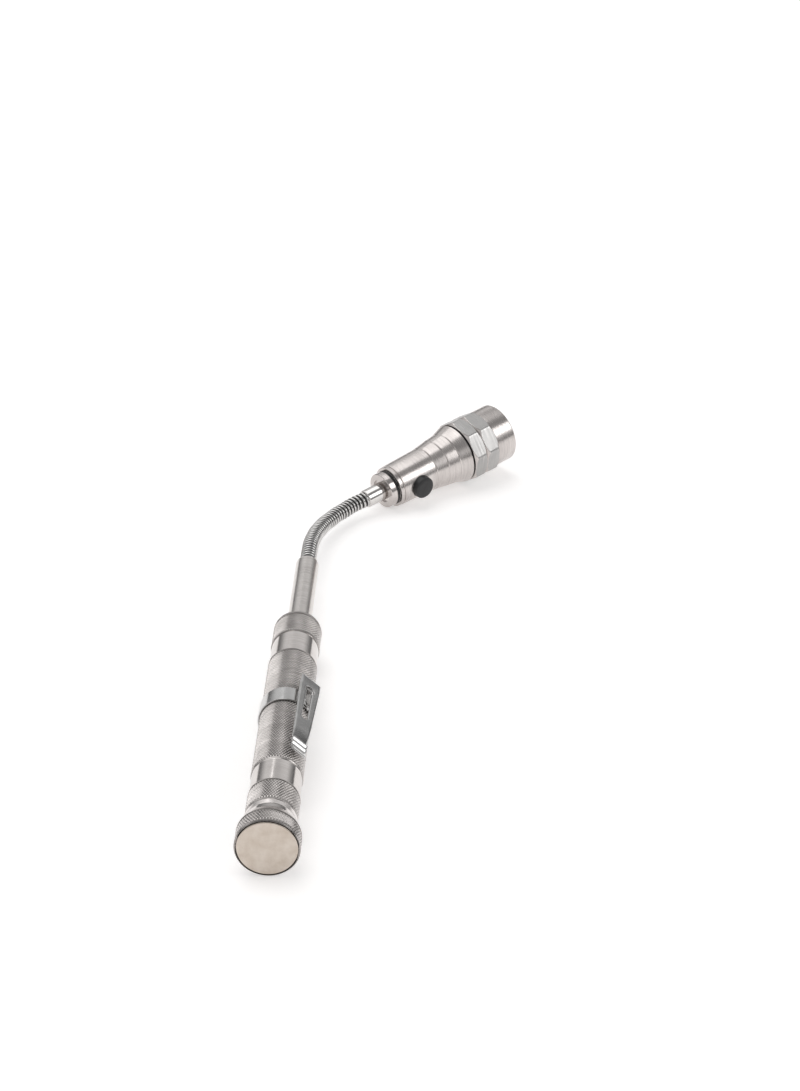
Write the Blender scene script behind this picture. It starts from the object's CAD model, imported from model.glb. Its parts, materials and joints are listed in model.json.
import json
import math
from collections import Counter

import bmesh
import bpy
import numpy as np
from mathutils import Matrix, Vector


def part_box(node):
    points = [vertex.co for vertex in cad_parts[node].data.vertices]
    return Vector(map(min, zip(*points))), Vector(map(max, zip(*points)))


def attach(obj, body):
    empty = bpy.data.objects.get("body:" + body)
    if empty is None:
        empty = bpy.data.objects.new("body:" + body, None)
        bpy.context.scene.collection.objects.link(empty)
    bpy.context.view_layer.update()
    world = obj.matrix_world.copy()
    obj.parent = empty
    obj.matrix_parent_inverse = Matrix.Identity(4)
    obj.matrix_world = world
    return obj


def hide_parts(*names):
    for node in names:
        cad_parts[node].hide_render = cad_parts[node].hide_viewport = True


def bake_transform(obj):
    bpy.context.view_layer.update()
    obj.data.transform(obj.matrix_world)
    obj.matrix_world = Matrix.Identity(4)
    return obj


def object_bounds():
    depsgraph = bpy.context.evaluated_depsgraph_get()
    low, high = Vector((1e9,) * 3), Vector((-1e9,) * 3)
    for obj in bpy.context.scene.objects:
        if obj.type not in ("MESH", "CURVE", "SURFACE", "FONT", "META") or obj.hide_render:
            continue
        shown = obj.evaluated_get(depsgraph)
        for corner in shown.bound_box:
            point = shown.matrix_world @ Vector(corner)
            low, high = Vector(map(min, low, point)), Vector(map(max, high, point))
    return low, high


# Looks of the telescoping magnetic pickup tool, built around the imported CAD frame.
# A place is a matrix: shapes are worked out in millimetres in it, and it takes them to the frame's metres.

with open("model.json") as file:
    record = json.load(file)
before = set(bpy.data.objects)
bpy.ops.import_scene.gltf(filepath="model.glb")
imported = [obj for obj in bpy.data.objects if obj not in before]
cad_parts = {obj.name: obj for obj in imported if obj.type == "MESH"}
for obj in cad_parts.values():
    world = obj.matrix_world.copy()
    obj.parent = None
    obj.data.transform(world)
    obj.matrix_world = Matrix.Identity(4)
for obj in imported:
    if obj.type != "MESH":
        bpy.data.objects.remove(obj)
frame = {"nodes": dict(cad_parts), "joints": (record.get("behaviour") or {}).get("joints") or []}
CAD_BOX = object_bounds()
MM = 0.001
ON_AXIS = 0.01  # a radius below this counts as none
FULL_RING = 16  # the fewest vertices that make a ring of a turned node
JOINT = {j["name"]: j for j in frame["joints"]}
JOINT_OF = {j["child"]: j for j in frame["joints"]}

# ---- driving sizes, in millimetres ---------------------------------------

KNURL_PITCH = 0.86  # between two lines, round the handle
KNURL_ANGLE = 30  # of a line to the axis, in degrees
KNURL_DEPTH = 0.2
KNURL_MIN_LENGTH = 3.0  # a shorter full-width zone is left smooth
KNURL_STEPS = 4  # mesh steps for each line, both ways
KNURL_INSET = 0.15  # of the knurl from both ends of its zone
COIL_PITCH = 1.65
COIL_WIRE_R = 0.5
COIL_STEPS = 32  # round the neck, and along each pitch
COIL_GAP_FROM = 0.84  # of the wire's radius, where the dark gap between turns starts
NECK_HIDDEN = 2.2  # length of coil drawn inside the smallest tube
PIN_HEAD = (2.8, 1.2)  # radius and thickness
PIN_R = 1.9
PIN_PLAY = (0.3, 0.35)  # below and above the slider
SEAM_TO_FRONT = 29.3  # from the head's seam to the place of the joint bezel_turn
OCTAGON_STEPS = 240
OCTAGON_BEVEL = 0.9
EDGE_BLEND = 0.06
WAIST_Y = 41.2  # where the bezel's octagon ends and its barrel starts, from the seam
BUTTON_GAP = 0.15
BUTTON_HOLE = (-2.5, 6.0)  # where the drill starts and ends, from the middle of the button
LED_CUP_R, LED_SEAT_R = 0.9, 0.45
LED_CUP_Y = (0.1, 1.9, 2.3)  # bottom, seat of the phosphor and top, from the lens's base
CLIP_T = 0.5
CLIP_EDGE = 0.09  # of the bevel along the sheet's edges
CLIP_FOLD_R = 1.4
CLIP_DROP = 3.7  # degrees
CLIP_TONGUE_W = 5.0
CLIP_BAND_W, CLIP_BAND_GAP = 6.8, 1.2
CLIP_STRIP_W = (7.2, 5.4)
CLIP_STRIP_LEN = 35.1
CLIP_RIDGES = (32.0, 34.1)
CLIP_RIDGE_W, CLIP_RIDGE_H = 0.85, 0.42
CLIP_TIP_LEN, CLIP_TIP_RISE = 3.3, 16
CLIP_SLOT_END, CLIP_SLOT_W, CLIP_HOLE_W, CLIP_HOLE_END = 19.0, 2.2, 3.4, 5.0

# in metres, at the photograph's viewing angle
CAMERA_AT = (0.0581, -0.5929, 0.4088)
CAMERA_TARGET = (0.0295, 0.1976, -0.0094)
CAMERA_LENS = 85.9

FLOOR_SIZE = 8  # in metres
FLOOR_GLOW = 0.42
# brightness of the room by the height of a direction, from the horizon at 0 to straight up at 1
ROOM_TONES = (
    (0.0, 0.18), (0.08, 0.15), (0.2, 0.4), (0.36, 0.8), (0.5, 0.75), (0.66, 0.28), (0.85, 0.3), (1.0, 0.45),
)

# ---- places --------------------------------------------------------------


def axes(origin, y_axis, x_hint):
    """A place with +Y along y_axis and +X as near x_hint as can be; it takes mm to the row frame."""
    y = Vector(y_axis).normalized()
    z = Vector(x_hint).cross(y).normalized()
    x = y.cross(z)
    turn = Matrix((x, y, z)).transposed().to_4x4()
    return Matrix.Translation(Vector(origin)) @ turn @ Matrix.Scale(MM, 4)


def unique_points(node):
    """The different vertices of a CAD node, in metres."""
    co = np.array([v.co for v in frame["nodes"][node].data.vertices], float).reshape(-1, 3)
    return np.unique(np.round(co, 7), axis=0)


head_axis = Vector(JOINT["bezel_turn"]["axis"])
head_seam = Vector(JOINT["bezel_turn"]["pos_m"]) - head_axis * SEAM_TO_FRONT * MM
button_axis = -Vector(JOINT["button_press"]["axis"])
HANDLE = axes((0, 0, 0), (0, 1, 0), (1, 0, 0))
HEAD = axes(head_seam, head_axis, button_axis)
BUTTON = axes(unique_points("button_cap").mean(axis=0), button_axis, head_axis)
clip_fold = Vector(JOINT["clip_flex"]["pos_m"])
clip_out = Vector((clip_fold.x, 0, clip_fold.z)).normalized()
CLIP = axes(clip_fold, (0, 1, 0), Vector((0, 1, 0)).cross(clip_out))

# ---- meshes --------------------------------------------------------------


def in_place(points, place):
    """Points in metres in the row frame, as an array of millimetres in a place."""
    inverse = np.array(place.inverted())
    return np.asarray(points, float) @ inverse[:3, :3].T + inverse[:3, 3]


def outline_of(node, place):
    """The outline of a turned CAD node as [radius, y] points, walked from ring to ring of its mesh."""
    mesh = frame["nodes"][node].data
    co = in_place([v.co for v in mesh.vertices], place)
    rings = np.round(np.c_[np.hypot(co[:, 0], co[:, 2]), co[:, 1]], 2)
    points, which, count = np.unique(rings, axis=0, return_inverse=True, return_counts=True)
    which = which.ravel()
    full = (count >= FULL_RING) | (points[:, 0] < ON_AXIS)
    links = {}
    for edge in mesh.edges:
        a, b = (int(which[v]) for v in edge.vertices)
        if a != b and full[a] and full[b]:
            for one, other in ((a, b), (b, a)):
                links.setdefault(one, Counter())[other] += 1
    best = {a: [b for b, _ in n.most_common(2)] for a, n in links.items()}
    start = min(best, key=lambda a: (points[a][0], points[a][1]))
    walk = [start]
    while ahead := [n for n in best[walk[-1]] if n not in walk]:
        walk.append(ahead[0])
    made = [tuple(float(x) for x in points[a]) for a in walk]
    closed = start in best[walk[-1]] and len(walk) > 2
    if not closed and made[0][0] > ON_AXIS:
        made.insert(0, (0.0, made[0][1]))
    if not closed and made[-1][0] > ON_AXIS:
        made.append((0.0, made[-1][1]))
    return made


MOST_CUT = 0.45 / 1.9  # of a side's length, so that the corners at its ends stay apart
BESIDE_CORNER = 1.8  # distance of the ring beside a corner, in cuts
CORNER_ROWS = 6  # rows that one rounded corner makes


def rounded(outline, radius, steps=3):
    """A closed outline with its corners rounded, and a ring beside each to keep the flats flat."""
    made = []
    n = len(outline)
    for i, (r, y) in enumerate(outline):
        here = np.array((r, y))
        back, ahead = (np.array(outline[k % n]) - here for k in (i - 1, i + 1))
        straight = abs(np.cross(back, ahead)) < 0.02 * np.linalg.norm(back) * np.linalg.norm(ahead)
        if r < ON_AXIS or straight:
            made.append((r, y))
            continue
        shorter = min(np.linalg.norm(back), np.linalg.norm(ahead))
        cut = min(radius, shorter * MOST_CUT)
        towards = [d / np.linalg.norm(d) * cut for d in (back, ahead)]
        a, b = (here + d for d in towards)
        made.append(tuple(here + towards[0] * BESIDE_CORNER))
        for t in np.linspace(0, 1, steps + 1):
            made.append(tuple((1 - t) ** 2 * a + 2 * t * (1 - t) * here + t * t * b))
        made.append(tuple(here + towards[1] * BESIDE_CORNER))
    return made


def mesh_object(name, verts, faces, place, sharp=28, close=True):
    """A smooth-shaded object from points in mm, with edges sharper than an angle kept crisp."""
    mesh = bpy.data.meshes.new(name)
    mesh.from_pydata([tuple(v) for v in verts], [], faces)
    mesh.transform(place)
    mesh.validate()
    if close:
        bm = bmesh.new()
        bm.from_mesh(mesh)
        bmesh.ops.remove_doubles(bm, verts=bm.verts, dist=1e-7)
        bmesh.ops.recalc_face_normals(bm, faces=bm.faces)
        bm.to_mesh(mesh)
        bm.free()
    mesh.shade_smooth()
    mesh.set_sharp_from_angle(angle=math.radians(sharp))
    made = bpy.data.objects.new(name, mesh)
    bpy.context.scene.collection.objects.link(made)
    return made


def turned_rows(name, rows, place, steps=96, sharp=28):
    """A closed turned surface from rows of (radius, y), where a radius may be an array over the steps."""
    angle = np.arange(steps) * 2 * math.pi / steps
    verts, rings, radii = [], [], []
    for radius, y in rows:
        first = len(verts)
        if np.max(radius) < 1e-6:
            verts.append((0.0, y, 0.0))
            rings.append([first] * steps)
            radii.append(np.zeros(steps))
            continue
        r = np.broadcast_to(np.asarray(radius, float), (steps,))
        verts += list(zip(r * np.cos(angle), np.full(steps, y), -r * np.sin(angle)))
        rings.append(list(range(first, first + steps)))
        radii.append(r)
    faces = []
    for a, b, ra, rb in zip(rings, rings[1:] + rings[:1], radii, radii[1:] + radii[:1]):
        uneven = np.ptp(ra) > 1e-6 or np.ptp(rb) > 1e-6
        for i in range(steps):
            k = (i + 1) % steps
            quad = (a[i], a[k], b[k], b[i])
            if len(set(quad)) < 3:
                continue
            if not uneven or len(set(quad)) == 3:
                faces.append(tuple(dict.fromkeys(quad)))
            elif abs(ra[i] - rb[k]) > abs(ra[k] - rb[i]):
                faces += [(a[i], a[k], b[i]), (a[k], b[k], b[i])]
            else:
                faces += [(a[i], a[k], b[k]), (a[i], b[k], b[i])]
    return mesh_object(name, verts, faces, place, sharp)


def turned(name, outline, place, steps=96, radius=0.1):
    return turned_rows(name, rounded(outline, radius), place, steps)


def stand_for(piece, body, nodes, finish):
    """A rigid piece that rides on a body in place of CAD nodes, with its finish."""
    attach(piece, body)
    if nodes:
        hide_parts(*nodes)
    piece.data.materials.clear()
    piece.data.materials.append(finish)
    return piece


# ---- finishes ------------------------------------------------------------


def add(tree, kind, inputs=None, **settings):
    """A shader node with its settings; an input that is another node's output is linked."""
    node = tree.nodes.new("ShaderNode" + kind)
    for key, value in settings.items():
        setattr(node, key, value)
    for key, value in (inputs or {}).items():
        if isinstance(value, bpy.types.NodeSocket):
            tree.links.new(value, node.inputs[key])
        else:
            node.inputs[key].default_value = value
    return node


def principled(name, **values):
    """A material with one Principled node whose plain values are set on its own sockets."""
    mat = bpy.data.materials.new(name)
    mat.use_nodes = True
    tree = mat.node_tree
    shader = tree.nodes["Principled BSDF"]
    for key, value in values.items():
        shader.inputs[key.replace("_", " ")].default_value = value
    return mat, tree, shader


def spread(tree, value, low, high, from_low=0.3, from_high=0.7):
    """A value mapped from one range to another, clamped."""
    return add(tree, "MapRange", {
        "Value": value, "From Min": from_low, "From Max": from_high, "To Min": low, "To Max": high,
    }).outputs["Result"]


def two_tones(tree, value, dark, light, low=0.3, high=0.7):
    """A colour between two, by a value."""
    share = spread(tree, value, 0, 1, low, high)
    mix = add(tree, "Mix", {0: share}, data_type="RGBA")
    mix.inputs[6].default_value = (*dark, 1)
    mix.inputs[7].default_value = (*light, 1)
    return mix.outputs[2]


def noise(tree, vector, scale, detail=3.0, rough=0.55):
    return add(tree, "TexNoise", {
        "Vector": vector, "Scale": scale, "Detail": detail, "Roughness": rough,
    }).outputs["Fac"]


def along_axis(tree, place):
    """Object coordinates, the distance along a place's +Y, and the distance from its axis, all in metres."""
    coords = add(tree, "TexCoord").outputs["Object"]
    axis = tuple(place.col[1].xyz.normalized())
    origin = tuple(place.translation)
    from_origin = add(tree, "VectorMath", {0: coords, 1: origin}, operation="SUBTRACT").outputs[0]
    along = add(tree, "VectorMath", {0: from_origin, 1: axis}, operation="DOT_PRODUCT").outputs["Value"]
    foot = add(tree, "VectorMath", {0: axis, "Scale": along}, operation="SCALE").outputs[0]
    out = add(tree, "VectorMath", {0: from_origin, 1: foot}, operation="SUBTRACT").outputs[0]
    radius = add(tree, "VectorMath", {0: out}, operation="LENGTH").outputs["Value"]
    return from_origin, along, radius


def turned_metal(name, dark, light, place, roughness, line, bump, stain=0.35, knurl=None):
    """Metal turned about a place's +Y: fine rings, clouds of tone, and on a knurl brighter crests.

    The rings are one line apart, in mm, and a knurl is given as its lowest and highest radius.
    """
    mat, tree, shader = principled(name, Metallic=1.0)
    coords, along, radius = along_axis(tree, place)
    axis = tuple(place.col[1].xyz.normalized())
    rings = add(tree, "Math", {0: along, 1: 1 / (line * MM)}, operation="MULTIPLY").outputs[0]
    drawn = add(tree, "VectorMath", {0: axis, "Scale": rings}, operation="SCALE").outputs[0]
    slow = add(tree, "VectorMath", {0: coords, "Scale": 1 / (14 * MM)}, operation="SCALE").outputs[0]
    stretched = add(tree, "VectorMath", {0: drawn, 1: slow}, operation="ADD").outputs[0]
    lines = noise(tree, stretched, 1.0, 2.0)
    clouds = noise(tree, coords, 1 / (7 * MM), 4.0)
    tone = add(tree, "Math", {0: lines, 1: clouds}, operation="ADD").outputs[0]
    tone = add(tree, "Math", {0: tone, 1: 0.5}, operation="MULTIPLY").outputs[0]
    if knurl:
        crest = spread(tree, radius, -0.45, 0.3, knurl[0] * MM, knurl[1] * MM)
        tone = add(tree, "Math", {0: tone, 1: crest}, operation="ADD").outputs[0]
    colour = two_tones(tree, tone, dark, light, 0.5 - stain / 2, 0.5 + stain / 2)
    tree.links.new(colour, shader.inputs["Base Color"])
    tree.links.new(spread(tree, lines, roughness[1], roughness[0]), shader.inputs["Roughness"])
    relief = add(tree, "Bump", {"Height": lines, "Strength": bump, "Distance": 0.03 * MM}).outputs[0]
    tree.links.new(relief, shader.inputs["Normal"])
    return mat


def plain_metal(name, dark, light, roughness=(0.2, 0.35), size=2.0, bump=0.05, metallic=1.0):
    """Metal with clouds of tone and small handling marks."""
    mat, tree, shader = principled(name, Metallic=metallic)
    coords = add(tree, "TexCoord").outputs["Object"]
    clouds = noise(tree, coords, 1 / (size * MM), 5.0)
    fine = noise(tree, coords, 1 / (0.25 * MM), 3.0)
    tree.links.new(two_tones(tree, clouds, dark, light), shader.inputs["Base Color"])
    tree.links.new(spread(tree, clouds, roughness[0], roughness[1]), shader.inputs["Roughness"])
    relief = add(tree, "Bump", {"Height": fine, "Strength": bump, "Distance": 0.02 * MM}).outputs[0]
    tree.links.new(relief, shader.inputs["Normal"])
    return mat


def plain_stuff(name, dark, light, roughness=(0.4, 0.6), grain=0.3, bump=0.2, **values):
    """Plastic or rubber: a fine grain, clouds of tone and uneven gloss."""
    mat, tree, shader = principled(name, **values)
    coords = add(tree, "TexCoord").outputs["Object"]
    clouds = noise(tree, coords, 1 / (3 * MM), 4.0)
    fine = noise(tree, coords, 1 / (grain * MM), 2.0)
    tree.links.new(two_tones(tree, clouds, dark, light), shader.inputs["Base Color"])
    tree.links.new(spread(tree, fine, roughness[0], roughness[1]), shader.inputs["Roughness"])
    relief = add(tree, "Bump", {"Height": fine, "Strength": bump, "Distance": 0.03 * MM}).outputs[0]
    tree.links.new(relief, shader.inputs["Normal"])
    return mat


def clear_stuff(name, tint, roughness, ior):
    """Clear plastic with faint haze and a few marks."""
    mat, tree, shader = principled(name, Transmission_Weight=1.0, IOR=ior)
    coords = add(tree, "TexCoord").outputs["Object"]
    marks = noise(tree, coords, 1 / (1.2 * MM), 4.0)
    tree.links.new(two_tones(tree, marks, tuple(0.94 * c for c in tint), tint), shader.inputs["Base Color"])
    tree.links.new(spread(tree, marks, roughness[0], roughness[1]), shader.inputs["Roughness"])
    return mat


handle_r = float(in_place(unique_points("handle_tube"), HANDLE)[:, 0].max())
cap_r = float(in_place(unique_points("tail_cap"), HANDLE)[:, 0].max())

NICKEL_DARK, NICKEL_LIGHT = (0.48, 0.445, 0.43), (0.68, 0.64, 0.62)
KNURL_DARK, KNURL_LIGHT = (0.24, 0.225, 0.215), (0.78, 0.74, 0.72)
handle_knurl, cap_knurl = (
    turned_metal(name, KNURL_DARK, KNURL_LIGHT, HANDLE, (0.2, 0.32), 0.35, 0.04, 0.6, (r - KNURL_DEPTH, r))
    for name, r in (("knurled nickel", handle_r), ("knurled cap nickel", cap_r))
)
band_metal = turned_metal(
    "turned band nickel", (0.56, 0.525, 0.505), (0.70, 0.665, 0.645), HANDLE, (0.1, 0.18), 0.25, 0.05)
head_metal = turned_metal("turned head nickel", NICKEL_DARK, NICKEL_LIGHT, HEAD, (0.2, 0.3), 0.22, 0.1)
plug_metal = turned_metal("turned plug nickel", NICKEL_DARK, NICKEL_LIGHT, HEAD, (0.14, 0.24), 0.2, 0.1)
octagon_metal = turned_metal("milled collar nickel", NICKEL_DARK, NICKEL_LIGHT, HEAD, (0.2, 0.3), 0.3, 0.05)
milled_metal = turned_metal(
    "milled flat nickel", (0.38, 0.375, 0.37), (0.52, 0.51, 0.5), HEAD, (0.26, 0.36), 0.45, 0.05)
tube_metal = turned_metal(
    "drawn tube steel", (0.56, 0.53, 0.51), (0.68, 0.65, 0.625), HANDLE, (0.16, 0.26), 0.5, 0.05)
ferrule_metal = plain_metal(
    "polished ferrule", (0.62, 0.60, 0.585), (0.72, 0.70, 0.685), (0.07, 0.14), 3.0, 0.02)
coil_metal = plain_metal("coil wire", (0.50, 0.49, 0.48), (0.66, 0.65, 0.64), (0.12, 0.24), 1.5, 0.04)
coil_gap_metal = plain_metal("coil gap", (0.025, 0.025, 0.025), (0.08, 0.078, 0.075), (0.3, 0.5), 1.0, 0.1)
clip_metal = plain_metal(
    "clip spring steel", (0.50, 0.495, 0.49), (0.60, 0.595, 0.59), (0.1, 0.2), 4.0, 0.04)
brass = plain_metal("brass", (0.55, 0.36, 0.14), (0.72, 0.52, 0.25), (0.25, 0.4))
tail_magnet_metal = plain_metal(
    "magnet face", (0.50, 0.43, 0.365), (0.66, 0.595, 0.53), (0.28, 0.45), 3.5, 0.12)
steel = plain_metal("plain steel", (0.32, 0.32, 0.32), (0.5, 0.5, 0.5), (0.25, 0.4))
cell_steel = plain_metal("cell steel", (0.55, 0.55, 0.56), (0.7, 0.7, 0.71), (0.15, 0.3), 3.0)
spring_wire = plain_metal("spring wire", (0.55, 0.47, 0.3), (0.72, 0.63, 0.42), (0.2, 0.35))
rubber = plain_stuff("black rubber", (0.006, 0.006, 0.007), (0.02, 0.02, 0.021), (0.38, 0.55), 0.25, 0.25)
black_plastic = plain_stuff("black plastic", (0.012, 0.012, 0.013), (0.03, 0.03, 0.032), (0.3, 0.5))
white_plastic = plain_stuff("white plastic", (0.72, 0.72, 0.70), (0.85, 0.85, 0.83), (0.35, 0.5))
board = plain_stuff("circuit board", (0.01, 0.08, 0.035), (0.03, 0.17, 0.075), (0.25, 0.45), 0.5, 0.1)
epoxy = clear_stuff("led epoxy", (0.97, 0.985, 1.0), (0.02, 0.08), 1.53)
window_clear = clear_stuff("clear window", (0.96, 0.98, 0.99), (0.01, 0.05), 1.49)
phosphor = plain_stuff("led phosphor", (0.75, 0.62, 0.12), (0.9, 0.78, 0.25), (0.5, 0.7), 0.1)

# ---- handle --------------------------------------------------------------


def knurl_rows(radius, y0, y1, steps):
    """Rows of a diamond knurl with flat-topped crests, run out at both ends."""
    period = 2 * math.pi * radius * KNURL_STEPS / steps / math.tan(math.radians(KNURL_ANGLE))
    count = max(3, round((y1 - y0) / period * KNURL_STEPS))
    turn = np.arange(steps) / KNURL_STEPS
    rows = []
    for j in range(count + 1):
        y = y0 + (y1 - y0) * j / count
        groove = [np.abs(2 * np.mod(turn + side * j / KNURL_STEPS, 1) - 1) for side in (1, -1)]
        crest = 1 - np.maximum(*groove) ** 2.2
        run_out = min(1, (j + 0.4) / 2.5, (count - j + 0.4) / 2.5)
        rows.append((radius - KNURL_DEPTH * (1 - run_out * crest), y))
    return rows


def knurled(name, node, radius, corner):
    """A turned CAD node with its longer zones of full radius knurled and its other corners rounded."""
    steps = round(2 * math.pi * radius / KNURL_PITCH) * KNURL_STEPS
    outline = outline_of(node, HANDLE)
    rows = []
    for i, (r, y) in enumerate(outline):
        r2, y2 = outline[(i + 1) % len(outline)]
        rows.append((r, y))
        if min(r, r2) > radius - 0.02 and abs(y2 - y) > KNURL_MIN_LENGTH:
            low, high = min(y, y2) + KNURL_INSET, max(y, y2) - KNURL_INSET
            made = knurl_rows(radius, low, high, steps)
            rows += made if y2 > y else made[::-1]
    smooth = {i for i, row in enumerate(rows) if np.ndim(row[0]) == 0}
    final = []
    for i, row in enumerate(rows):
        near = [k % len(rows) for k in (i - 1, i, i + 1)]
        if all(k in smooth for k in near):
            patch = [rows[k] for k in near]
            final += rounded(patch, corner)[CORNER_ROWS:-CORNER_ROWS] or [row]
        else:
            final.append(row)
    return turned_rows(name, final, HANDLE, steps, 24)


def band_faces(piece, radius):
    """Gives the second material to the faces that lie on a smooth zone below the full radius."""
    for face in piece.data.polygons:
        centre = np.array(face.center) / MM
        r = math.hypot(centre[0], centre[2])
        if r < radius - KNURL_DEPTH - 0.02:
            face.material_index = 1


def build_handle():
    tube = knurled("handle_tube_knurled", "handle_tube", handle_r, 0.08)
    stand_for(tube, "handle", ["handle_tube"], handle_knurl)
    tube.data.materials.append(band_metal)
    band_faces(tube, handle_r)
    cap = knurled("tail_cap_knurled", "tail_cap", cap_r, 0.08)
    stand_for(cap, "handle", ["tail_cap"], cap_knurl)
    cap.data.materials.append(band_metal)
    band_faces(cap, cap_r)
    magnet = turned("tail_magnet_disc", outline_of("tail_magnet", HANDLE), HANDLE, 160, 0.15)
    stand_for(magnet, "handle", ["tail_magnet"], tail_magnet_metal)


def build_tubes():
    for node, body in (("tube_3", "tube_outer"), ("tube_2", "tube_middle"), ("tube_1", "tube_inner")):
        tube = turned(node + "_drawn", outline_of(node, HANDLE), HANDLE, 128, 0.12)
        stand_for(tube, body, [node], tube_metal)


# ---- neck ----------------------------------------------------------------


def neck_line():
    """Points along the neck's centreline at rest, in mm, and the length at which each piece ends."""
    bodies = ["neck_root"] + [f"neck_{k:02d}" for k in range(1, 12)] + ["head"]
    hinges = [np.array(JOINT_OF[b]["pos_m"]) / MM for b in bodies[1:]]
    half = np.linalg.norm(hinges[1] - hinges[0]) / 2
    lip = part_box("tube_1")[1].y / MM
    start = np.array((0.0, lip - NECK_HIDDEN, 0.0))
    ferrule_y = min(y for _, y in outline_of("neck_ferrule", HEAD))
    end = np.array(HEAD @ Vector((0, ferrule_y, 0))) / MM
    mids = [hinges[0] - (0, half, 0)]
    mids += [(a + b) / 2 for a, b in zip(hinges, hinges[1:])]
    mids.append(end)
    points, knots = [start], []
    for k, hinge in enumerate(hinges):
        knots.append(len(points))
        for t in np.linspace(0, 1, 40, endpoint=False):
            points.append((1 - t) ** 2 * mids[k] + 2 * t * (1 - t) * hinge + t * t * mids[k + 1])
    points.append(end)
    points = np.array(points)
    length = np.r_[0, np.cumsum(np.linalg.norm(np.diff(points, axis=0), axis=1))]
    return bodies, hinges, mids, points, length, [length[k] for k in knots]


def neck_frames(points):
    """Two side directions at each point of the centreline, carried along without twist."""
    tangents = np.gradient(points, axis=0)
    tangents /= np.linalg.norm(tangents, axis=1)[:, None]
    side = np.array((1.0, 0.0, 0.0))
    sides = []
    for t in tangents:
        side = side - t * (side @ t)
        side /= np.linalg.norm(side)
        sides.append(side)
    sides = np.array(sides)
    return sides, np.cross(tangents, sides)


def wire_radius(phase, coil_r):
    """The neck's radius at a phase of the pitch: a round wire, and a lower flat one between its turns."""
    across = (phase - 0.5) * COIL_PITCH
    centre = coil_r - COIL_WIRE_R
    inside = np.clip(COIL_WIRE_R**2 - across**2, 0, None)
    gap = centre - 0.02 + 0.1 * np.cos(math.pi * np.clip(np.abs(across) / (COIL_PITCH / 2), 0, 1))
    return np.maximum(centre + np.sqrt(inside) - 0.02, gap)


def coil_radius():
    """The outer radius of the first coil segment, about the line between its two hinges."""
    a, b = (Vector(JOINT_OF[body]["pos_m"]) for body in ("neck_01", "neck_02"))
    own = in_place(unique_points("coil_01"), axes(a, b - a, (0, 0, 1)))
    return float(np.hypot(own[:, 0], own[:, 2]).max())


def coil_piece(name, rows, centre, side, up, coil_r, first, last):
    """A length of the coil as a tube whose radius follows the wire, with its gaps in a second material."""
    turn = np.arange(COIL_STEPS)
    angle = turn * 2 * math.pi / COIL_STEPS
    phase = np.mod((rows[:, None] - turn[None, :]) / COIL_STEPS, 1)
    r = wire_radius(phase, coil_r)
    ring = side[:, None, :] * np.cos(angle)[None, :, None] + up[:, None, :] * np.sin(angle)[None, :, None]
    verts = list((centre[:, None, :] + r[:, :, None] * ring).reshape(-1, 3))
    faces = []
    for j in range(len(rows) - 1):
        here, ahead = j * COIL_STEPS, (j + 1) * COIL_STEPS
        for i in range(COIL_STEPS):
            n = (i + 1) % COIL_STEPS
            faces += [(here + i, here + n, ahead + n), (here + i, ahead + n, ahead + i)]
    if first:
        faces.append(tuple(range(COIL_STEPS))[::-1])
    if last:
        faces.append(tuple(range(len(verts) - COIL_STEPS, len(verts))))
    piece = mesh_object(name, verts, faces, Matrix.Scale(MM, 4), 50, False)
    piece.data.materials.append(coil_metal)
    piece.data.materials.append(coil_gap_metal)
    low = (np.abs(phase[:-1] - 0.5) * COIL_PITCH > COIL_WIRE_R * COIL_GAP_FROM).ravel()
    for face, is_low in zip(piece.data.polygons, np.repeat(low, 2)):
        face.material_index = int(is_low)
    return piece


def build_neck():
    bodies, hinges, mids, points, length, knots = neck_line()
    sides, ups = neck_frames(points)
    coil_r = coil_radius()
    total = int(length[-1] / COIL_PITCH * COIL_STEPS)
    ends = [0] + [round(k / COIL_PITCH * COIL_STEPS) for k in knots] + [total]
    last = len(ends) - 2
    pieces = []
    for k in range(last + 1):
        rows = np.arange(ends[k], ends[k + 1] + 1)
        at = rows * length[-1] / total
        centre, side, up = (
            np.array([np.interp(at, length, a[:, i]) for i in range(3)]).T for a in (points, sides, ups)
        )
        piece = coil_piece(f"neck_coil_{k:02d}", rows, centre, side, up, coil_r, k == 0, k == last)
        pieces.append(piece)
    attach(pieces[0], "neck_root")
    for k, piece in enumerate(pieces[1:]):
        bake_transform(piece)
    nodes = ["neck_root"] + [f"coil_{k:02d}" for k in range(1, 12)] + ["coil_end"]
    for piece, node in zip(pieces, nodes):
        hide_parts(node)


def build_neck_pin():
    """The neck's pivot inside the smallest tube: a headed pin through the slider."""
    low, high = (v.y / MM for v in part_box("neck_slider"))
    low, high = low - PIN_PLAY[0], high + PIN_PLAY[1]
    head_r, head_t = PIN_HEAD
    pin = turned("neck_pivot_pin", [
        (0, low - head_t), (head_r, low - head_t), (head_r, low), (PIN_R, low), (PIN_R, high), (0, high),
    ], HANDLE, 48, 0.15)
    stand_for(pin, "neck_root", [], steel)


# ---- head ----------------------------------------------------------------


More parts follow.
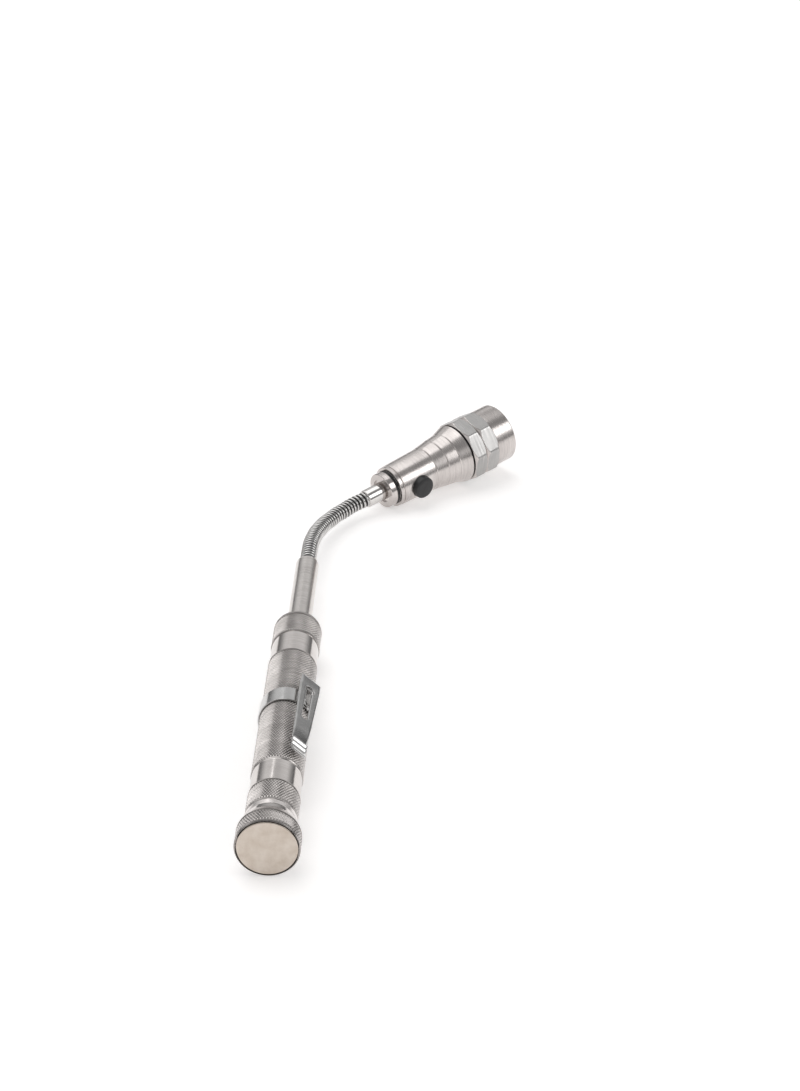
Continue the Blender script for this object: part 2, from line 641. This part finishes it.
def octagon_rows(y0, y1, flat, roll):
    """Rows of an octagonal bar turned down at both ends, its edges slightly rounded."""
    angle = np.arange(OCTAGON_STEPS) * 360 / OCTAGON_STEPS
    off_flat = np.mod(angle - roll + 22.5, 45) - 22.5
    corner = flat / math.cos(math.radians(22.5))
    sides = np.minimum(flat / np.cos(np.radians(off_flat)), corner - 0.07)
    cuts = np.r_[0, 0.04, 0.12, np.linspace(0.22, 1, 9)] * OCTAGON_BEVEL
    places = np.r_[y0 + cuts, y1 - cuts[::-1]]
    rows = []
    for y in places:
        depth = min(y - y0, y1 - y)
        turned_r = flat - 0.12 + (corner + 0.1 - flat) * depth / OCTAGON_BEVEL
        gap = turned_r - sides
        soft = np.where(np.abs(gap) < EDGE_BLEND, (gap - EDGE_BLEND) ** 2 / (4 * EDGE_BLEND), 0)
        rows.append((np.minimum(sides, turned_r) - soft, float(y)))
    return rows


def milled_faces(piece, least_r):
    """Gives the second material to the eight flats: faces along the head's axis, outside a radius."""
    piece.data.materials.append(milled_metal)
    centres = in_place([face.center for face in piece.data.polygons], HEAD)
    outside = np.hypot(centres[:, 0], centres[:, 2]) > least_r
    for face, is_out in zip(piece.data.polygons, outside):
        if is_out and abs(face.normal.dot(head_axis)) < 0.05:
            face.material_index = 1


def build_octagons():
    collar = in_place(unique_points("grip_collar"), HEAD)
    radii = np.hypot(collar[:, 0], collar[:, 2])
    top = collar[np.argmax(radii)]
    flat = float(radii.max()) * math.cos(math.radians(22.5))
    roll = math.degrees(math.atan2(-top[2], top[0])) + 22.5
    bore, y0, y1 = float(radii.min()), float(collar[:, 1].min()), float(collar[:, 1].max())
    rows = [(bore, y0)] + octagon_rows(y0, y1, flat, roll) + [(bore, y1)]
    ring = turned_rows("grip_collar_octagon", rows, HEAD, OCTAGON_STEPS, 26)
    stand_for(ring, "bezel", ["grip_collar"], octagon_metal)
    shape = in_place(unique_points("bezel"), HEAD)
    rim_y = float(shape[:, 1].max())
    front_r = float(np.hypot(shape[:, 0], shape[:, 2])[shape[:, 1] > rim_y - 0.4].max())
    rows = [(bore, y1)] + octagon_rows(y1, WAIST_Y, flat, roll)
    # the first and last point only lead into the corners beside them
    barrel = rounded([
        (front_r - 0.5, WAIST_Y - 1), (front_r, WAIST_Y), (front_r, WAIST_Y + 0.8), (front_r, rim_y - 0.35),
        (front_r - 0.3, rim_y), (9.95, rim_y), (9.3, 47.6), (9.2, 47.2), (9.2, 40.4), (8.2, 40.4),
        (8.2, 39.2), (bore, 39.2), (bore, y1 + 1),
    ], 0.12)
    rows += barrel[CORNER_ROWS:-CORNER_ROWS]
    bezel = turned_rows("bezel_cup", rows, HEAD, OCTAGON_STEPS, 26)
    stand_for(bezel, "bezel", ["bezel"], head_metal)
    for piece in (ring, bezel):
        milled_faces(piece, flat - 0.1)


def cut_hole(piece, place, radius, y0, y1):
    """Drills a round hole through a piece along a place's +Y."""
    drill = turned_rows("drill", [(0, y0), (radius, y0), (radius, y1), (0, y1)], place, 64)
    cut = piece.modifiers.new("hole", "BOOLEAN")
    cut.operation = "DIFFERENCE"
    cut.solver = "EXACT"
    cut.object = drill
    bpy.context.view_layer.update()
    mesh = bpy.data.meshes.new_from_object(piece.evaluated_get(bpy.context.evaluated_depsgraph_get()))
    piece.modifiers.clear()
    piece.data = mesh
    bpy.data.objects.remove(drill)
    mesh.shade_smooth()
    mesh.set_sharp_from_angle(angle=math.radians(28))


def build_head():
    shell = turned("head_shell_cone", outline_of("head_shell", HEAD), HEAD, 192, 0.1)
    button = in_place(unique_points("button_cap"), BUTTON)
    stem_r = float(np.hypot(button[:, 0], button[:, 2])[button[:, 1] > 0].max())
    cut_hole(shell, BUTTON, stem_r + BUTTON_GAP, *BUTTON_HOLE)
    stand_for(shell, "head", ["head_shell"], head_metal)
    plug = turned("rear_plug_turned", outline_of("rear_plug", HEAD), HEAD, 160, 0.12)
    stand_for(plug, "head", ["rear_plug"], plug_metal)
    ferrule = turned("neck_ferrule_turned", outline_of("neck_ferrule", HEAD), HEAD, 96, 0.2)
    stand_for(ferrule, "head", ["neck_ferrule"], ferrule_metal)
    ring = in_place(unique_points("rear_o_ring"), HEAD)
    y0, y1 = float(ring[:, 1].min()), float(ring[:, 1].max())
    outer = float(np.hypot(ring[:, 0], ring[:, 2]).max())
    half = (y1 - y0) / 2
    loop = [(outer - half + half * math.cos(a), (y0 + y1) / 2 + half * math.sin(a))
            for a in np.linspace(0, 2 * math.pi, 24, endpoint=False)]
    o_ring = turned_rows("rear_o_ring_round", loop, HEAD, 128)
    stand_for(o_ring, "head", ["rear_o_ring"], rubber)
    seal = turned("front_seal_ring", outline_of("front_seal", HEAD), HEAD, 160, 0.2)
    stand_for(seal, "seal", ["front_seal"], rubber)
    cap = turned("button_cap_moulded", outline_of("button_cap", BUTTON), BUTTON, 72, 0.3)
    stand_for(cap, "button", ["button_cap"], rubber)
    magnet = turned("head_magnet_disc", outline_of("head_magnet", HEAD), HEAD, 96, 0.15)
    stand_for(magnet, "bezel", ["head_magnet"], ferrule_metal)
    cup = turned("magnet_cup_turned", outline_of("magnet_cup", HEAD), HEAD, 96, 0.08)
    stand_for(cup, "bezel", ["magnet_cup"], plug_metal)
    pane = turned("window_pane", outline_of("window", HEAD), HEAD, 128, 0.08)
    stand_for(pane, "bezel", ["window"], window_clear)


def build_led_dies():
    """Inside each LED lens, a small cup with its phosphor."""
    lenses = in_place(unique_points("leds"), HEAD)
    base_y = float(lenses[:, 1].min())
    angle = np.degrees(np.arctan2(lenses[:, 2], lenses[:, 0])) % 360
    gap_at = np.sort(angle)
    widest = gap_at[np.argmax(np.diff(np.r_[gap_at, gap_at[0] + 360]))]
    shifted = (angle - widest - 0.01) % 360
    for k in range(3):
        one = lenses[(shifted >= k * 120) & (shifted < (k + 1) * 120)]
        x, z = (float((one[:, i].min() + one[:, i].max()) / 2) for i in (0, 2))
        spot = HEAD @ Matrix.Translation((x, 0, z))
        bottom, seat, top = (base_y + h for h in LED_CUP_Y)
        cup = turned(f"led_cup_{k + 1}", [
            (0, bottom), (LED_CUP_R, bottom), (LED_CUP_R, top), (0.75, top), (LED_SEAT_R, seat), (0, seat),
        ], spot, 40, 0.05)
        stand_for(cup, "bezel", [], cell_steel)
        die = turned(f"led_phosphor_{k + 1}", [
            (0, seat + 0.02), (LED_SEAT_R - 0.01, seat + 0.02), (0.62, top - 0.15), (0.5, top - 0.06),
            (0, top - 0.02),
        ], spot, 32, 0.05)
        stand_for(die, "bezel", [], phosphor)


# ---- clip ----------------------------------------------------------------


def clip_path():
    """Stations along the clip's sheet, in its place: (y, z of its middle, half width, half slot)."""
    mid_r = CLIP_FOLD_R - CLIP_T / 2
    band_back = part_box("clip_band")[0].y / MM - clip_fold.y / MM
    drop = math.radians(CLIP_DROP)
    stations = []
    for y in np.linspace(band_back + 0.4, 0, 6, endpoint=False):
        stations.append((y, -mid_r, CLIP_TONGUE_W / 2, 0.0))
    for a in np.linspace(-math.pi / 2, math.pi / 2 + drop, 20, endpoint=False):
        share = max(0.0, a / (math.pi / 2))
        width = (CLIP_TONGUE_W + (CLIP_STRIP_W[0] - CLIP_TONGUE_W) * min(1, share * 1.6)) / 2
        stations.append((mid_r * math.cos(a), mid_r * math.sin(a), width, 0.0))
    top = np.array((mid_r * math.cos(math.pi / 2 + drop), mid_r * math.sin(math.pi / 2 + drop)))
    heading = np.array((-math.cos(drop), -math.sin(drop)))
    outward = np.array((-math.sin(drop), math.cos(drop)))
    slot_r, hole_r = CLIP_SLOT_W / 2, CLIP_HOLE_W / 2
    ends = [CLIP_SLOT_END + slot_r - slot_r * (1 - math.cos(a)) for a in np.linspace(0, math.pi / 2, 7)]
    hole = [CLIP_HOLE_END + hole_r * math.cos(a) for a in np.linspace(0, math.pi, 15)]
    ridges = [c + CLIP_RIDGE_W * t for c in CLIP_RIDGES for t in np.linspace(-1, 1, 9)]
    plain = [0.0, 3.0, 10.0, 14.0, 25.0, CLIP_STRIP_LEN]
    for s in sorted({round(float(s), 3) for s in [*plain, *ends, *hole, *ridges]}):
        width = np.interp(s, (0, 3, CLIP_STRIP_LEN), (CLIP_STRIP_W[0], CLIP_STRIP_W[0], CLIP_STRIP_W[1])) / 2
        in_hole = max(0.0, hole_r**2 - (s - CLIP_HOLE_END) ** 2) ** 0.5
        past = max(0.0, s - CLIP_SLOT_END)
        in_slot = max(0.0, slot_r**2 - past**2) ** 0.5 if s > CLIP_HOLE_END else 0.0
        across = [(s - c) / CLIP_RIDGE_W for c in CLIP_RIDGES]
        ridge = sum(math.cos(math.pi / 2 * a) ** 2 for a in across if abs(a) < 1)
        p = top + heading * s + outward * ridge * CLIP_RIDGE_H
        stations.append((p[0], p[1], float(width), max(in_hole, in_slot)))
    rise = math.radians(CLIP_TIP_RISE - CLIP_DROP)
    start = top + heading * CLIP_STRIP_LEN
    for s in np.linspace(0.5, CLIP_TIP_LEN, 5):
        tip = start + s * np.array((-math.cos(rise), math.sin(rise)))
        corner = 0.5 * max(0.0, (s - CLIP_TIP_LEN + 0.7) / 0.7) ** 2
        stations.append((tip[0], tip[1], CLIP_STRIP_W[1] / 2 - 0.1 - corner, 0.0))
    return stations


def sheet_mesh(stations, columns=5):
    """The clip's flat sheet as two halves, one each side of its slot, that meet where there is no slot."""
    verts, faces = [], []
    for y, z, half, slot in stations:
        for side in (-1, 1):
            for c in range(columns):
                x = side * (slot + (half - slot) * c / (columns - 1))
                verts.append((x, y, z))
    per_row = 2 * columns
    for j in range(len(stations) - 1):
        for side in range(2):
            for c in range(columns - 1):
                a = j * per_row + side * columns + c
                faces.append((a, a + 1, a + 1 + per_row, a + per_row))
    return mesh_object("clip_sheet", verts, faces, CLIP, 40)


def build_clip_sheet():
    sheet = sheet_mesh(clip_path())
    thick = sheet.modifiers.new("thick", "SOLIDIFY")
    thick.thickness = CLIP_T * MM
    thick.offset = 0
    thick.use_even_offset = True
    edge = sheet.modifiers.new("edge", "BEVEL")
    edge.width = CLIP_EDGE * MM
    edge.segments = 2
    edge.limit_method = "ANGLE"
    edge.angle_limit = math.radians(50)
    bpy.context.view_layer.update()
    mesh = bpy.data.meshes.new_from_object(sheet.evaluated_get(bpy.context.evaluated_depsgraph_get()))
    sheet.modifiers.clear()
    sheet.data = mesh
    mesh.shade_smooth()
    mesh.set_sharp_from_angle(angle=math.radians(32))
    mesh.materials.clear()
    mesh.materials.append(clip_metal)
    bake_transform(sheet)
    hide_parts("pocket_clip")


def build_clip_band():
    band = in_place(unique_points("clip_band"), CLIP)
    outer = clip_fold.xz.length / MM - CLIP_FOLD_R - 0.05
    y0 = float(band[:, 1].min())
    y1 = y0 + CLIP_BAND_W
    section = rounded([(outer - CLIP_T, y0), (outer, y0), (outer, y1), (outer - CLIP_T, y1)], 0.12)
    half_gap = CLIP_BAND_GAP / 2 / outer
    steps = 160
    depth = clip_fold.xz.length / MM
    verts = []
    for a in np.linspace(half_gap, 2 * math.pi - half_gap, steps + 1) - math.pi / 2:
        verts += [(r * math.cos(a), y, r * math.sin(a) - depth) for r, y in section]
    n = len(section)
    faces = [(i * n + k, i * n + (k + 1) % n, (i + 1) * n + (k + 1) % n, (i + 1) * n + k)
             for i in range(steps) for k in range(n)]
    faces += [tuple(range(n)), tuple(range(steps * n, steps * n + n))]
    ring = mesh_object("clip_band_ring", verts, faces, CLIP, 32)
    stand_for(ring, "clip_carrier", ["clip_band"], clip_metal)


# ---- carried-over CAD nodes ----------------------------------------------

KEPT = {
    "front_bush": brass, "tail_pole_plate": steel, "tube_3_sleeve": brass, "tube_2_sleeve": brass,
    "tube_1_sleeve": brass, "neck_slider": brass, "switch_carrier": black_plastic, "switch_board": board,
    "tact_switch": black_plastic, "battery_spring": spring_wire, "battery_sleeve": white_plastic,
    "button_cells": cell_steel, "led_board": board, "board_contact": brass, "leds": epoxy,
    "face_plate": black_plastic,
}


def finish_kept_nodes():
    for node, finish in KEPT.items():
        mesh = frame["nodes"][node].data
        mesh.materials.clear()
        mesh.materials.append(finish)


# ---- stage ---------------------------------------------------------------


def softbox(name, at, aim, size, power, colour=(1, 1, 1)):
    """A rectangular area light."""
    data = bpy.data.lights.new(name, "AREA")
    data.shape = "RECTANGLE"
    data.size, data.size_y = size
    data.energy = power
    data.color = colour
    light = bpy.data.objects.new(name, data)
    light.location = at
    light.rotation_euler = (Vector(aim) - Vector(at)).to_track_quat("-Z", "Y").to_euler()
    bpy.context.scene.collection.objects.link(light)


def build_floor():
    bpy.ops.mesh.primitive_plane_add(size=FLOOR_SIZE, location=(0, 0, CAD_BOX[0].z))
    floor = bpy.context.object
    floor.name = "floor"
    white, tree, shader = principled("white table", Roughness=0.6, Emission_Color=(1, 0.99, 0.985, 1))
    shader.inputs["Specular IOR Level"].default_value = 0.2
    shader.inputs["Emission Strength"].default_value = FLOOR_GLOW
    coords = add(tree, "TexCoord").outputs["Object"]
    tone = two_tones(tree, noise(tree, coords, 6.0), (0.86, 0.85, 0.845), (0.875, 0.865, 0.86))
    tree.links.new(tone, shader.inputs["Base Color"])
    floor.data.materials.append(white)


def build_lights():
    """Two softboxes in a room whose brightness changes with height. The camera sees the room as white."""
    target = (0.03, 0.14, 0)
    softbox("top", (-0.35, 0.55, 1.2), target, (1.4, 1.4), 8)
    softbox("right", (0.92, 0.0, 0.65), (0.05, 0.24, 0), (0.45, 0.5), 1.7)
    world = bpy.data.worlds.new("studio")
    bpy.context.scene.world = world
    world.use_nodes = True
    tree = world.node_tree
    back = tree.nodes["Background"]
    direction = add(tree, "TexCoord").outputs["Generated"]
    height = add(tree, "SeparateXYZ", {0: direction}).outputs["Z"]
    ramp = add(tree, "ValToRGB", {"Fac": height})
    while len(ramp.color_ramp.elements) < len(ROOM_TONES):
        ramp.color_ramp.elements.new(0.5)
    for element, (place, value) in zip(ramp.color_ramp.elements, ROOM_TONES):
        element.position = place
        element.color = (value, value, value, 1)
    seen = add(tree, "LightPath").outputs["Is Camera Ray"]
    mix = add(tree, "Mix", {0: seen}, data_type="RGBA")
    tree.links.new(ramp.outputs["Color"], mix.inputs[6])
    mix.inputs[7].default_value = (1, 1, 1, 1)
    tree.links.new(mix.outputs[2], back.inputs["Color"])
    back.inputs["Strength"].default_value = 1.0


def build_camera():
    data = bpy.data.cameras.new("camera")
    data.lens = CAMERA_LENS
    data.clip_start, data.clip_end = 0.01, 20
    camera = bpy.data.objects.new("camera", data)
    camera.location = CAMERA_AT
    camera.rotation_euler = (Vector(CAMERA_TARGET) - Vector(CAMERA_AT)).to_track_quat("-Z", "Y").to_euler()
    bpy.context.scene.collection.objects.link(camera)
    bpy.context.scene.camera = camera


build_handle()
build_tubes()
build_neck()
build_neck_pin()
build_octagons()
build_head()
build_led_dies()
build_clip_sheet()
build_clip_band()
finish_kept_nodes()
build_floor()
build_lights()
build_camera()
bpy.context.scene.view_settings.view_transform = "Standard"
